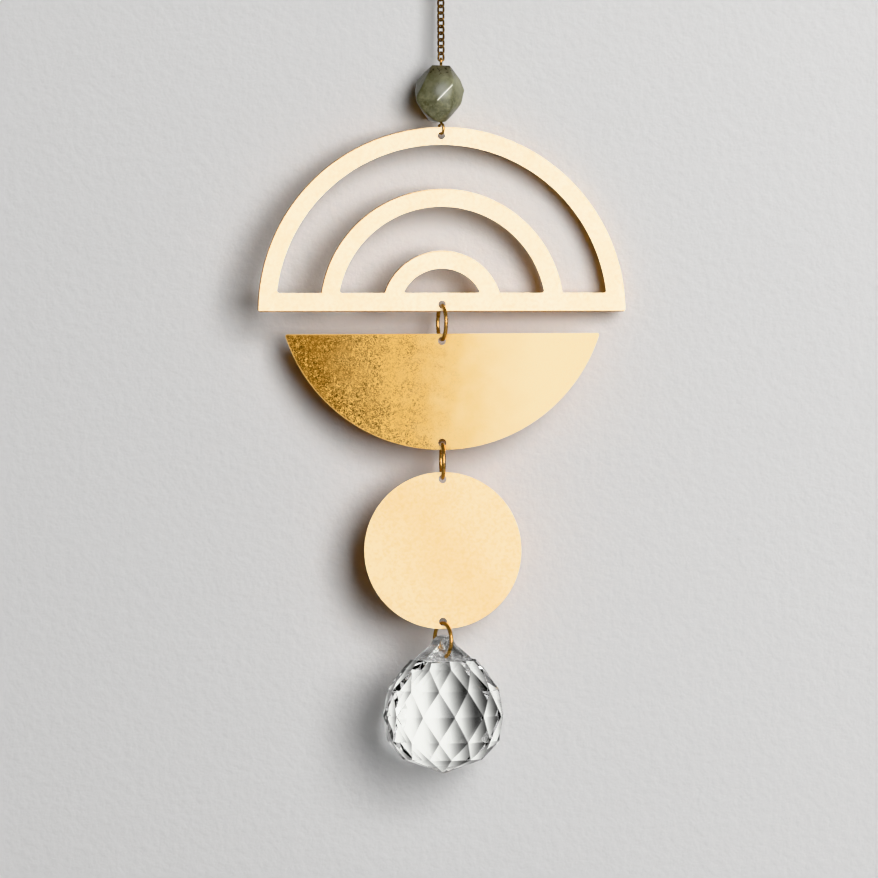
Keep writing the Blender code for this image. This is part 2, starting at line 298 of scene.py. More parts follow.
def brush(place, shader, length, depth):
    """Rub a plate's surface: lines of this length and depth."""
    lines = use_group(grain, {"Vector": place, "Width": 0.25 * MM, "Length": length})
    link(bump(lines, depth), shader["Normal"])


BACK_BRIGHT = (1.0, 0.53, 0.10)
BACK_DULL = (0.76, 0.385, 0.075)


def coat_plate(place, shader, colour, rough, turn=0.0):
    """Give a plate its front's colour and roughness, and its back a rolled, cloudy skin."""
    back = use_group(plate_back, {"Vector": place, "Turn": turn})
    clouds = cloudy(place, 7 * MM, 7.0, 0.3, 0.75)
    colour = blend(back, colour, blend(clouds, BACK_BRIGHT, BACK_DULL))
    rolled = spread(clouds, 0.0, 1.0, 0.42, 0.6)
    link(colour, shader["Base Color"])
    link(spread(back, 0.0, 1.0, rough, rolled), shader["Roughness"])


# %% [markdown]
# The arch is the palest plate: raw brass, rubbed to a satin and hardly tarnished. The only
# marks on it are faint clouds of handling and the rubbing lines. A thin dark brown line along
# the left and lower rims of its bands is painted shade, on edges that face away from the light.

# %% Finish: pale brass of the arch
ARCH_TURN = radians(6)
ARCH_RADIUS = 47.0 * MM
ARCH_FOOT = 4.75 * MM
WIDE_INNER = 31.25 * MM
MIDDLE_INNER = 15.5 * MM
RIM_LINE = (0.32 * MM, 0.2 * MM)  # none beyond the first distance, full within the second
arch_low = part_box("arch_plate")[0]


def painted_rim_shade(place):
    """Painted shade: 1 along the outer rims of the bands on their left side, and along the foot.
    """
    own = centred(place, arch_low.z, turn=-ARCH_TURN)
    axes, away = axes_of(own), reach(own)
    line = 0.0
    for radius in (ARCH_RADIUS, WIDE_INNER, MIDDLE_INNER):
        apart = calc("ABSOLUTE", minus(away, radius))
        line = calc("MAXIMUM", line, spread(apart, *RIM_LINE))
    line = times(line, spread(axes["X"], 12 * MM, -12 * MM))
    above_foot = spread(axes["Z"], ARCH_FOOT - 0.1 * MM, ARCH_FOOT + 0.1 * MM)
    outermost = calc("GREATER_THAN", away, ARCH_RADIUS - 1 * MM)
    line = times(line, calc("MAXIMUM", above_foot, outermost))
    return calc("MAXIMUM", line, spread(axes["Z"], *RIM_LINE))


def build_pale_brass():
    material, shader, place = new_finish("pale_satin_brass", (0.94, 0.79, 0.54), 0.4, 1.0)
    clouds = cloudy(place, 9 * MM, 5.0, 0.3, 0.7)
    specks = cloudy(place, 0.8 * MM, 4.0, 0.35, 0.7)
    colour = blend(clouds, (0.93, 0.78, 0.53), (0.96, 0.83, 0.60))
    colour = blend(times(specks, 0.4), colour, (0.66, 0.48, 0.26))
    # Painted shade: a dark brown line on the rims that face away from the light.
    colour = blend(painted_rim_shade(place), colour, (0.15, 0.08, 0.03))
    coat_plate(place, shader, colour, spread(specks, 0.0, 1.0, 0.38, 0.44), ARCH_TURN)
    brush(place, shader, 2.5 * MM, 0.004 * MM)
    return material


pale_brass = build_pale_brass()
print("finish:", pale_brass.name)


# %% [markdown]
# The half-moon is the most tarnished plate. Its left side is a warm brown gold, with fine dark
# specks that crowd at the left tip and along the curved rim, and its right side is as pale as
# the disc below it. The darkening towards the left is partly tarnish and partly painted shade,
# as that side is turned from the light, and a lighter line along its rims on the left is a
# painted highlight. Distance from the left tip and from the curved rim, both in the piece's own
# coordinates, say how much tarnish there is, and noise breaks it into specks.

# %% Finish: tarnished brass of the half-moon, with painted shade and a painted highlight
MOON_RADIUS = 42.0 * MM
MOON_CHORD = 12.4 * MM
MOON_TURN = radians(-3)
moon_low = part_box("half_moon_plate")[0]
moon_middle = moon_low.z + MOON_RADIUS


def build_moon_brass():
    material, shader, place = new_finish("tarnished_brass_painted_shade", (0.86, 0.64, 0.33), 0.36, 1.0)
    own = centred(place, moon_middle)
    axes = axes_of(own)
    from_rim = minus(MOON_RADIUS, reach(own))
    wander = calc("MULTIPLY_ADD", cloudy(own, 7 * MM, 6.0, 0.2, 0.8), 8 * MM, -4 * MM)
    along = plus(axes["X"], wander)

    # Tarnish and painted shade: the colour darkens from gold to brown towards the left, the side
    # turned from the light.
    gold = spread(along, 28 * MM, -12 * MM)
    brown = spread(along, -12 * MM, -35 * MM)
    colour = blend(gold, (0.90, 0.73, 0.46), (0.53, 0.335, 0.115))
    colour = blend(brown, colour, (0.26, 0.13, 0.03))

    patches = cloudy(own, 5 * MM, 4.0, 0.35, 0.65)
    rim = spread(from_rim, 7 * MM, 0.5 * MM)
    crowd = calc("MULTIPLY_ADD", patches, 0.35, 0.4)
    crowd = calc("MULTIPLY_ADD", rim, 0.35, crowd)
    crowd = times(crowd, spread(along, 10 * MM, -24 * MM, 0.16, 1.2))
    fine = made("ShaderNodeTexNoise", {
        "Vector": own, "Scale": 1 / (0.58 * MM), "Detail": 4.0, "Roughness": 0.75,
        "Distortion": 1.6})
    dark = times(spread(fine, 0.52, 0.42), crowd)
    light = times(spread(fine, 0.53, 0.62), crowd)
    colour = blend(dark, colour, (0.075, 0.035, 0.008))
    colour = blend(times(light, 0.55), colour, (0.86, 0.55, 0.18))

    # Painted highlight: a lighter line along the rims on the left.
    from_edge = calc("MINIMUM", from_rim, minus(-MOON_CHORD, axes["Z"]))
    painted_rim_highlight = spread(from_edge, *RIM_LINE)
    painted_rim_highlight = times(painted_rim_highlight, spread(along, -20 * MM, 10 * MM, 0.9, 0.0))
    colour = blend(painted_rim_highlight, colour, (0.54, 0.335, 0.12))
    coat_plate(place, shader, colour, spread(dark, 0.0, 1.0, 0.35, 0.55), MOON_TURN)
    brush(own, shader, 2.5 * MM, 0.004 * MM)
    return material


moon_brass = build_moon_brass()
print("finish:", moon_brass.name)


# %% [markdown]
# The disc is satin brass with a fine upright grain. A duller band from its top right through
# its middle is painted shade, for the dimmer part of the light that the flat plate mirrors, and
# its rims are brighter.

# %% Finish: satin brass of the disc
disc_low, disc_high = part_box("round_plate")
disc_middle = (disc_low.z + disc_high.z) / 2


def build_disc_brass():
    material, shader, place = new_finish("satin_brass", (0.88, 0.67, 0.38), 0.34, 1.0)
    own = centred(place, disc_middle)
    # Painted shade: a duller band from the top right through the middle.
    band = axes_of(centred(own, 0.0, lean=radians(35)))["X"]
    wander = calc("MULTIPLY_ADD", cloudy(own, 9 * MM, 5.0, 0.25, 0.75), 8 * MM, -4 * MM)
    dull = spread(calc("ABSOLUTE", plus(band, wander)), 15 * MM, 0.0)
    colour = blend(dull, (0.92, 0.735, 0.46), (0.85, 0.64, 0.37))
    specks = cloudy(own, 0.8 * MM, 4.0, 0.35, 0.7)
    colour = blend(times(specks, 0.45), colour, (0.55, 0.35, 0.14))
    coat_plate(place, shader, colour, spread(specks, 0.0, 1.0, 0.36, 0.44))
    brush(own, shader, 3 * MM, 0.005 * MM)
    return material


disc_brass = build_disc_brass()
print("finish:", disc_brass.name)


# %% [markdown]
# The wire of the rings and the pin is an antique brass, redder and darker than the plates,
# with a smooth, drawn surface and small clouds of tarnish. The chain is of the same wire, but
# far more tarnished, with the brass worn bright only here and there.

# %% Finish: antique brass wire, and the chain's darker wire
def build_wire_brass(name, bright, dull, cloud, start, end):
    material, shader, place = new_finish(name, bright, 0.22, 1.0)
    clouds = cloudy(place, cloud, 3.0, start, end)
    link(blend(clouds, bright, dull), shader["Base Color"])
    link(spread(clouds, 0.0, 1.0, 0.2, 0.34), shader["Roughness"])
    return material


wire_brass = build_wire_brass(
    "antique_wire_brass", (0.72, 0.43, 0.16), (0.42, 0.22, 0.06), 0.8 * MM, 0.35, 0.7)
chain_brass = build_wire_brass(
    "chain_brass", (0.52, 0.33, 0.15), (0.12, 0.06, 0.022), 0.5 * MM, 0.36, 0.5)
print("finishes:", wire_brass.name, chain_brass.name)


# %% [markdown]
# The bead is an olive-grey stone, a little translucent. It is mottled with yellow-green lower
# down, and dark flecks gather near its top. A pale patch in the middle of its front is a painted
# sheen, its left side is darkened by painted shade, on the side away from the light, and a pale
# line along the short crisp ridge on its front is a painted highlight. Light goes some way into
# the stone, so it has a little subsurface scattering, and its ground facets have a soft polish.

# %% Finish: olive-grey stone
bead_low, bead_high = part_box("stone_bead")
bead_middle = (bead_low + bead_high) / 2
PAINTED_SHEEN_SPOT = (0.3 * MM, -5.5 * MM, 0.7 * MM)
HIGHLIGHT_FROM = Vector((-0.85 * MM, -5.6 * MM, -1.85 * MM))
HIGHLIGHT_TO = Vector((2.9 * MM, -5.6 * MM, 1.95 * MM))


def painted_ridge_highlight(own):
    """Painted highlight: a thin line between two points, on the front of the bead only."""
    ridge = HIGHLIGHT_TO - HIGHLIGHT_FROM
    start = vcalc("SUBTRACT", own, tuple(HIGHLIGHT_FROM))
    share = vcalc("DOT_PRODUCT", start, tuple(ridge / ridge.length_squared))
    share = calc("ADD", share, 0.0, clamp=True)
    nearest = vcalc("MULTIPLY", tuple(ridge), share)
    apart = reach(vcalc("SUBTRACT", start, nearest))
    highlight = spread(apart, 0.2 * MM, 0.06 * MM, 0.0, 0.85)
    return times(highlight, spread(axes_of(own)["Y"], 0.0, -3 * MM))


def build_stone():
    material, shader, place = new_finish(
        "olive_grey_stone", (0.3, 0.3, 0.2), 0.3, Subsurface_Weight=0.25,
        Subsurface_Scale=1.2 * MM, Subsurface_Radius=(1.0, 0.9, 0.6),
        Coat_Weight=0.7, Coat_Roughness=0.2)
    own = centred(place, bead_middle.z)
    axes = axes_of(own)
    clouds = cloudy(own, 5 * MM, 5.0, 0.3, 0.7)
    mottled = cloudy(own, 0.9 * MM, 5.0, 0.4, 0.7)
    colour = blend(clouds, (0.15, 0.148, 0.08), (0.38, 0.375, 0.24))
    # Painted shade: darker towards the left, the side away from the light.
    painted_shade_left = spread(axes["X"], 0.5 * MM, -5 * MM, 0.0, 0.5)
    colour = blend(painted_shade_left, colour, (0.10, 0.09, 0.045))
    low_down = spread(axes["Z"], 2 * MM, -3 * MM, 0.15, 0.6)
    colour = blend(times(mottled, low_down), colour, (0.40, 0.39, 0.23))
    # Painted sheen: a pale patch in the middle of the front.
    apart = vcalc("DISTANCE", own, PAINTED_SHEEN_SPOT)
    painted_sheen = spread(apart, 3.2 * MM, 0.3 * MM, 0.0, 0.75)
    colour = blend(painted_sheen, colour, (0.56, 0.56, 0.50))
    # Painted highlight: a pale line along the crisp ridge.
    colour = blend(painted_ridge_highlight(own), colour, (0.95, 0.94, 0.86))
    near_top = spread(axes["Z"], 3 * MM, 6.5 * MM)
    colour = blend(times(near_top, 0.6), colour, (0.12, 0.10, 0.065))
    start = spread(near_top, 0.0, 1.0, 0.68, 0.52)
    end = spread(near_top, 0.0, 1.0, 0.74, 0.64)
    flecks = cloudy(own, 0.7 * MM, 3.0, start, end)
    link(blend(flecks, colour, (0.04, 0.03, 0.02)), shader["Base Color"])
    link(spread(clouds, 0.0, 1.0, 0.28, 0.4), shader["Roughness"])
    link(bump(mottled, 0.015 * MM), shader["Normal"])
    return material


stone = build_stone()
print("finish:", stone.name)


# %% [markdown]
# The ball is clear lead glass: see-through, colourless, and bending light a little more than
# window glass. Its facets are cut and polished, and its cap is as it came from the mould, a
# little uneven.

# %% Finish: clear cut glass
def build_glass(name, roughness, unevenness):
    material, shader, place = new_finish(
        name, (0.985, 0.99, 0.99), roughness, 0.0, Transmission_Weight=1.0, IOR=1.53)
    waves = cloudy(place, 1.5 * MM, 3.0, 0.3, 0.7)
    if unevenness:
        link(bump(waves, unevenness), shader["Normal"])
    else:
        link(spread(waves, 0.0, 1.0, roughness, roughness + 0.01), shader["Roughness"])
    return material


cut_glass = build_glass("cut_glass", 0.0, 0.0)
cap_glass = build_glass("moulded_glass", 0.12, 0.12 * MM)
print("finish:", cut_glass.name, cap_glass.name)


# %% [markdown]
# A piece that follows a rule is grown by a geometry tree on an empty object. The result is
# kept as a plain mesh and the modifier goes, so what is left can be exported as it stands.
# Inputs are set by the socket's identifier, because two sockets may share a name.

# %% Helpers: grow a piece from a geometry tree
SAME_POINT = 0.001 * MM


def new_object(name, data):
    """Put a new object in the scene."""
    obj = bpy.data.objects.new(name, data)
    bpy.context.scene.collection.objects.link(obj)
    return obj


def keep_result(obj):
    """Keep the mesh that an object's modifiers make."""
    depsgraph = bpy.context.evaluated_depsgraph_get()
    mesh = bpy.data.meshes.new_from_object(obj.evaluated_get(depsgraph), depsgraph=depsgraph)
    obj.modifiers.clear()
    obj.data = mesh


def grow(name, tree, values, points=None):
    """Run a tree with its named inputs on a new object, and keep the plain mesh."""
    start = bpy.data.meshes.new(name + "_start")
    if points:
        edges = [(i, i + 1) for i in range(len(points) - 1)]
        start.from_pydata(points, edges, [])
    obj = new_object(name, start)
    modifier = obj.modifiers.new("shape", "NODES")
    modifier.node_group = tree
    for item in tree.interface.items_tree:
        if item.in_out == "INPUT" and item.name in values:
            modifier[item.identifier] = values[item.name]
    keep_result(obj)
    obj.data.name = name
    close_up(obj)
    return obj


def close_up(obj, split=False):
    """Merge doubled points, split faces of many corners if asked, and turn all outwards."""
    bm = bmesh.new()
    bm.from_mesh(obj.data)
    bmesh.ops.remove_doubles(bm, verts=bm.verts, dist=SAME_POINT)
    if split:
        many = [face for face in bm.faces if len(face.verts) > 4]
        bmesh.ops.triangulate(bm, faces=many, ngon_method="BEAUTY")
    bmesh.ops.recalc_face_normals(bm, faces=bm.faces)
    open_edges = sum(1 for edge in bm.edges if len(edge.link_faces) != 2)
    bm.to_mesh(obj.data)
    bm.free()
    print(obj.name, "faces:", len(obj.data.polygons), "open edges:", open_edges)


def smooth_up_to(obj, degrees):
    """Shade smooth, but keep the edges that are sharper than this."""
    obj.data.shade_smooth()
    obj.data.set_sharp_from_angle(angle=radians(degrees))


# %% [markdown]
# The geometry trees share a few steps: a circle, a wire along a line, several shapes in one,
# and a shape hung at its height. Every tree ends in the same two nodes, which make its copies
# real and give it its material.

# %% Helpers: steps of the geometry trees
def circle(steps, radius):
    return made("GeometryNodeCurvePrimitiveCircle", {
        "Resolution": steps, "Radius": radius}, mode="RADIUS")


def sweep(line, wire, steps, caps=True):
    """Round wire of a thickness along a line."""
    return made("GeometryNodeCurveToMesh", {
        "Curve": line, "Profile Curve": circle(steps, times(wire, 0.5)),
        "Fill Caps": caps})


def join(shapes):
    """Put several shapes in one."""
    node = add("GeometryNodeJoinGeometry")
    for shape in shapes:
        link(shape, node.inputs[0])
    return node.outputs[0]


def moved(shape, place=(0.0, 0.0, 0.0), turn=(0.0, 0.0, 0.0)):
    """Turn a shape and move it."""
    return made("GeometryNodeTransform", {
        "Geometry": shape, "Translation": place, "Rotation": turn})


def hang(shape, take):
    """Turn a shape about the vertical and lift it, as the tree's inputs say."""
    return moved(shape, from_axes(z=take["Height"]), from_axes(z=take["Turn"]))


def end_tree(take, give, shape):
    """Make the geometry real and give it its material."""
    real = made("GeometryNodeRealizeInstances", {"Geometry": shape})
    link(made("GeometryNodeSetMaterial", {"Geometry": real, "Material": take["Material"]}), give)


# %% [markdown]
# All three plates are stamped from the same sheet, so one group does what the press does: it
# fills the closed outlines, takes out what lies inside them, gives the blank its thickness,
# stands it upright and hangs it at its height.

# %% Group: stamp a plate
def build_stamp():
    """Outlines drawn flat become an upright plate."""
    tree, take, give = new_group("stamp", {
        "Outlines": "shape", "Thickness": 1.0 * MM, "Height": 0.0, "Turn": 0.0})
    blank = made("GeometryNodeFillCurve", {"Curve": take["Outlines"]}, mode="NGONS")
    raised = made("GeometryNodeExtrudeMesh", {
        "Mesh": blank, "Offset Scale": take["Thickness"], "Individual": False})
    under = made("GeometryNodeFlipFaces", {"Mesh": blank})
    solid = made("GeometryNodeMergeByDistance", {
        "Geometry": join([raised, under]), "Distance": SAME_POINT})
    forward = from_axes(y=times(take["Thickness"], 0.5))
    upright = moved(solid, forward, (radians(90), 0.0, 0.0))
    link(hang(upright, take), give)
    return tree


stamp = build_stamp()
show_group(stamp)


# %% [markdown]
# The outlines are arcs that stand on a level line. A half disc is one arc closed by the line,
# and a curved window is a wide arc and a narrow one joined end to end. The corners are
# rounded as a cutter would leave them: the outer corners more than the inner ones.

# %% Groups: half disc and curved window
def arc_over(radius, floor, steps, backwards=False):
    """Arc about the origin, from the level line on one side to the line on the other."""
    rise = calc("ARCSINE", calc("DIVIDE", floor, radius))
    sweep_angle = calc("MULTIPLY_ADD", rise, -2.0, math.pi)
    start = rise
    if backwards:
        start = minus(math.pi, rise)
        sweep_angle = times(sweep_angle, -1.0)
    return made("GeometryNodeCurveArc", {
        "Resolution": steps, "Radius": radius, "Start Angle": start,
        "Sweep Angle": sweep_angle}, mode="RADIUS")


def close_line(curve, corners):
    """Make one closed line of the curve's points, and round the numbered points by radii."""
    line = made("GeometryNodeCurveToPoints", {"Curve": curve}, mode="EVALUATED")
    line = made("GeometryNodePointsToCurves", {"Points": line})
    ring = made("GeometryNodeSetSplineCyclic", {"Geometry": line, "Cyclic": True})
    index = made("GeometryNodeInputIndex")
    radius = 0.0
    for number, size in corners:
        same = calc("COMPARE", index, number, 0.5)
        radius = calc("MULTIPLY_ADD", same, size, radius)
    return made("GeometryNodeFilletCurve", {
        "Curve": ring, "Count": 6, "Radius": radius, "Limit Radius": True}, mode="POLY")


def build_half_disc():
    """Part of a disc above a level line."""
    tree, take, give = new_group("half disc", {
        "Radius": 40 * MM, "Floor": 0.0, "Corner": 0.6 * MM, "Steps": 96})
    arc = arc_over(take["Radius"], take["Floor"], take["Steps"])
    last = minus(take["Steps"], 1.0)
    link(close_line(arc, ((0.0, take["Corner"]), (last, take["Corner"]))), give)
    return tree


def build_window():
    """Curved window between two arcs about the same middle."""
    tree, take, give = new_group("curved window", {
        "Outer Radius": 40 * MM, "Inner Radius": 30 * MM, "Floor": 5 * MM,
        "Outer Corner": 0.6 * MM, "Inner Corner": 0.15 * MM, "Steps": 96})
    steps = take["Steps"]
    wide = arc_over(take["Outer Radius"], take["Floor"], steps)
    narrow = arc_over(take["Inner Radius"], take["Floor"], steps, True)
    link(close_line(join([narrow, wide]), (
        (0.0, take["Outer Corner"]), (minus(steps, 1.0), take["Outer Corner"]),
        (steps, take["Inner Corner"]),
        (calc("MULTIPLY_ADD", steps, 2.0, -1.0), take["Inner Corner"]))), give)
    return tree


half_disc = build_half_disc()
curved_window = build_window()
print("groups:", half_disc.name, curved_window.name)


# %% [markdown]
# The arch plate is a half disc with three windows about the same middle, and a bar along the
# foot. A small hole near its crown takes the pin's eye, and one in the foot the ring below.

# %% Tree: arch plate
HOLE_RADIUS = 1.0 * MM
HOLE_INSET = 1.85 * MM


def hole_at(height):
    """Round hole on the middle line, at a height in the flat drawing."""
    return moved(circle(40, HOLE_RADIUS), from_axes(y=height))


def build_arch_tree():
    tree, take, give = new_group("arch plate", {
        "Radius": ARCH_RADIUS, "Foot Bar": ARCH_FOOT,
        "Wide Outer": 42.5 * MM, "Wide Inner": WIDE_INNER,
        "Middle Outer": 26.75 * MM, "Middle Inner": MIDDLE_INNER,
        "Small Radius": 11 * MM, "Top Hole Inset": 2.2 * MM,
        "Height": 0.0, "Turn": 0.0, "Material": "material"})
    foot = take["Foot Bar"]
    outlines = [use_group(half_disc, {
        "Radius": take["Radius"], "Floor": 0.0, "Corner": 0.7 * MM, "Steps": 160})]
    for name, steps in (("Wide", 128), ("Middle", 80)):
        outlines.append(use_group(curved_window, {
            "Outer Radius": take[name + " Outer"], "Inner Radius": take[name + " Inner"],
            "Floor": foot, "Steps": steps}))
    outlines.append(use_group(half_disc, {
        "Radius": take["Small Radius"], "Floor": foot, "Steps": 40}))
    crown = minus(take["Radius"], take["Top Hole Inset"])
    outlines += [hole_at(crown), hole_at(HOLE_INSET)]
    plate = use_group(stamp, {
        "Outlines": join(outlines), "Height": take["Height"], "Turn": take["Turn"]})
    end_tree(take, give, plate)
    return tree


def soften(obj):
    """Break the sharp edges with a small bevel and shade the rest as flat metal."""
    obj.data.shade_smooth()
    bevel = obj.modifiers.new("broken_edges", "BEVEL")
    bevel.width = 0.1 * MM
    bevel.segments = 3
    bevel.limit_method = "ANGLE"
    bevel.angle_limit = radians(50)
    bevel.harden_normals = True
    bevel.use_clamp_overlap = True


arch = grow("arch", build_arch_tree(), {
    "Height": arch_low.z, "Turn": ARCH_TURN, "Material": pale_brass})
soften(arch)


# %% [markdown]
# The half-moon is a slice of a disc that hangs with its straight edge upwards: the same half
# disc turned over. The round plate is a full circle. Both have a hole at the top and one at
# the bottom.

# %% Trees: half-moon and round plate
DISC_RADIUS = 20.0 * MM


def build_moon_tree():
    tree, take, give = new_group("half-moon plate", {
        "Radius": MOON_RADIUS, "Chord": MOON_CHORD, "Height": 0.0, "Turn": 0.0,
        "Material": "material"})
    outline = use_group(half_disc, {
        "Radius": take["Radius"], "Floor": take["Chord"], "Corner": 0.5 * MM, "Steps": 160})
    over = moved(outline, turn=(0.0, 0.0, math.pi))
    high = calc("MULTIPLY_ADD", take["Chord"], -1.0, -HOLE_INSET)
    low = calc("MULTIPLY_ADD", take["Radius"], -1.0, HOLE_INSET)
    plate = use_group(stamp, {
        "Outlines": join([over, hole_at(high), hole_at(low)]), "Height": take["Height"],
        "Turn": take["Turn"]})
    end_tree(take, give, plate)
    return tree


def build_disc_tree():
    tree, take, give = new_group("round plate", {
        "Radius": DISC_RADIUS, "Height": 0.0, "Material": "material"})
    high = minus(take["Radius"], HOLE_INSET)
    low = times(high, -1.0)
    plate = use_group(stamp, {
        "Outlines": join([circle(192, take["Radius"]), hole_at(high), hole_at(low)]),
        "Height": take["Height"]})
    end_tree(take, give, plate)
    return tree


half_moon = grow("half_moon", build_moon_tree(), {
    "Height": moon_middle, "Turn": MOON_TURN, "Material": moon_brass})
soften(half_moon)
disc = grow("disc", build_disc_tree(), {"Height": disc_middle, "Material": disc_brass})
soften(disc)


# %% [markdown]
# Each join between plates is a jump ring: a turn of round wire whose two ends meet. The tree
# bends an arc just short of a full turn, so the hairline where the ends meet is really there.

# %% Tree: jump ring
def build_ring_tree():
    tree, take, give = new_group("jump ring", {
        "Outer Diameter": 9.7 * MM, "Wire": 1.0 * MM, "Joint Gap": 0.04 * MM,
        "Joint At": 0.0, "Height": 0.0, "Turn": 0.0, "Material": "material"})
    radius = times(minus(take["Outer Diameter"], take["Wire"]), 0.5)
    gap = calc("DIVIDE", take["Joint Gap"], radius)
    bend = made("GeometryNodeCurveArc", {
        "Resolution": 72, "Radius": radius, "Start Angle": take["Joint At"],
        "Sweep Angle": minus(2 * math.pi, gap)}, mode="RADIUS")
    upright = moved(sweep(bend, take["Wire"], 16), turn=(radians(90), 0.0, radians(90)))
    end_tree(take, give, hang(upright, take))
    return tree


ring_tree = build_ring_tree()
RINGS = {
    "hanging_ring": (8.0 * MM, 0.8 * MM, 90, 140),
    "upper_ring": (9.7 * MM, 1.0 * MM, 14, 175),
    "middle_ring": (9.7 * MM, 1.0 * MM, 5, 10),
    "lower_ring": (9.7 * MM, 1.0 * MM, 29, 20),
}
rings = {}
for node, (outer, wire, turn, joint) in RINGS.items():
    low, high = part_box(node)
    rings[node] = grow(node + "_wire", ring_tree, {
        "Outer Diameter": outer, "Wire": wire, "Height": (low.z + high.z) / 2,
        "Turn": radians(turn), "Joint At": radians(joint), "Material": wire_brass})
    smooth_up_to(rings[node], 50)


# %% [markdown]
# The chain is a curb chain: oval links of round wire, each twisted a quarter turn so that it
# hangs flat. The tree draws one oval, repeats it down a line, twists every oval by its place
# in the row, and only then gives it its wire. The first link is twisted to take the hanging
# ring and the last to take the pin's eye.

# %% Tree: curb chain
LINKS = [name for name in sorted(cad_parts) if name.startswith("chain_link")]


def build_chain_tree():
    tree, take, give = new_group("curb chain", {
        "Count": 11, "First Height": 0.0, "Pitch": 1.71 * MM, "Wire": 0.5 * MM,
        "Inner Length": 1.77 * MM, "Inner Width": 0.9 * MM, "Twist": radians(45),
        "First Turn": -math.pi / 2, "Last Turn": 0.0, "Material": "material"})
    twist = take["Twist"]
    bend = times(plus(take["Inner Width"], take["Wire"]), 0.5)
    straight = times(minus(take["Inner Length"], take["Inner Width"]), 0.5)
    spot = made("GeometryNodeInputPosition")
    flat = axes_of(spot)
    rise = calc("MULTIPLY_ADD", calc("SIGN", flat["Y"]), straight, flat["Y"])
    link_line = made("GeometryNodeSetPosition", {
        "Geometry": circle(24, bend), "Position": from_axes(x=flat["X"], z=rise)})
    link_line = made("GeometryNodeResampleCurve", {"Curve": link_line, "Count": 36})

    top = from_axes(z=take["First Height"])
    down = from_axes(z=times(take["Pitch"], -1.0))
    row = made("GeometryNodeMeshLine", {
        "Count": take["Count"], "Start Location": top, "Offset": down}, mode="OFFSET")
    copies = made("GeometryNodeInstanceOnPoints", {"Points": row, "Instance": link_line})
    links = made("GeometryNodeRealizeInstances", {"Geometry": copies})

    number = made("GeometryNodeFieldOnDomain", {
        "Value": made("GeometryNodeInputIndex")}, data_type="FLOAT", domain="CURVE")
    is_first = calc("COMPARE", number, 0.0, 0.5)
    is_last = calc("COMPARE", number, minus(take["Count"], 1.0), 0.5)
    middle = minus(take["First Height"], times(number, take["Pitch"]))
    above = minus(flat["Z"], middle)
    share = calc("DIVIDE", above, plus(straight, bend))
    share = calc("MULTIPLY_ADD", share, 0.5, 0.5)
    low = calc("MULTIPLY_ADD", is_last, plus(take["Last Turn"], twist), times(twist, -1.0))
    high = calc("MULTIPLY_ADD", is_first, minus(take["First Turn"], twist), twist)
    turn = calc("MULTIPLY_ADD", minus(high, low), share, low)
    twisted = made("ShaderNodeVectorRotate", {
        "Vector": spot, "Angle": turn}, rotation_type="Z_AXIS")
    lines = made("GeometryNodeSetPosition", {"Geometry": links, "Position": twisted})
    end_tree(take, give, sweep(lines, take["Wire"], 12, caps=False))
    return tree


first_low, first_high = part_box(LINKS[0])
chain = grow("curb_chain", build_chain_tree(), {
    "Count": len(LINKS), "First Height": (first_low.z + first_high.z) / 2,
    "Material": chain_brass})
chain.data.shade_smooth()


# %% [markdown]
# The pin is one piece of wire: an upper eye in the chain's last link, a straight shank through
# the bead, and a larger lower eye that is turned a little and holds the arch. Its path is
# worked out as arcs, and a tree sweeps the wire along it.

# %% Tree: bent wire
PIN_WIRE = 0.65 * MM
TOP_EYE = 2.05 * MM
LOW_EYE = 3.2 * MM
LOW_EYE_TURN = radians(29)


def build_wire_tree():
    tree, take, give = new_group("bent wire", {
        "Path": "shape", "Wire": PIN_WIRE, "Material": "material"})
    line = made("GeometryNodeMeshToCurve", {"Mesh": take["Path"]})
    end_tree(take, give, sweep(line, take["Wire"], 16))
    return tree


def arc_points(radius, start, end, steps, centre=(0.0, 0.0)):
    """Points along an arc, from one angle to another."""
    points = []
    for i in range(steps + 1):
        angle = start + (end - start) * i / steps
        points.append((centre[0] + radius * math.cos(angle), centre[1] + radius * math.sin(angle)))
    return points


def eye_points(outer, open_angle, steps):
    """Loop of an eye, and its bend down into the shank."""
    to_bend = radians(250)
    radius = (outer - PIN_WIRE) / 2
    loop = arc_points(radius, open_angle, to_bend, steps)
    bend = -loop[-1][0] / (1.0 + math.cos(to_bend))
    centre = (-bend, loop[-1][1] + bend * math.sin(to_bend))
    return loop + arc_points(bend, to_bend - math.pi, 0.0, 10, centre)[1:]


pin_low, pin_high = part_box("bead_pin")
upper = eye_points(TOP_EYE, radians(-30), 36)
lower = eye_points(LOW_EYE, radians(-58), 44)
top_eye = pin_high.z - TOP_EYE / 2
low_eye = pin_low.z + LOW_EYE / 2
path = [(0.0, u, top_eye + z) for u, z in upper]
for u, z in reversed(lower):
    path.append((-u * math.sin(LOW_EYE_TURN), u * math.cos(LOW_EYE_TURN), low_eye - z))
pin = grow("pin", build_wire_tree(), {"Material": wire_brass}, path)
smooth_up_to(pin, 50)


# %% [markdown]
# The bead is a nugget, ground to a few flats and then tumbled, so its flats are true and its
# edges soft. The solid model's corners give the nugget. It is cut into small even faces, then
# smoothed a little: that rounds the edges and leaves the middles of the flats alone. Its lower
# half was tumbled far more, all but the short ridge on its front, so the smoothing there is
# repeated, with a weight that dies out towards the ridge.

# %% Stone bead
BORE_RADIUS = 0.55 * MM


def copy_of(node):
    """Copy a solid's mesh and merge its doubled points."""
    bm = bmesh.new()
    bm.from_mesh(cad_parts[node].data)
    bmesh.ops.remove_doubles(bm, verts=bm.verts, dist=SAME_POINT)
    return bm


def object_of(bm, name):
    """Turn an edited mesh into a new object."""
    mesh = bpy.data.meshes.new(name)
    bm.to_mesh(mesh)
    bm.free()
    return new_object(name, mesh)


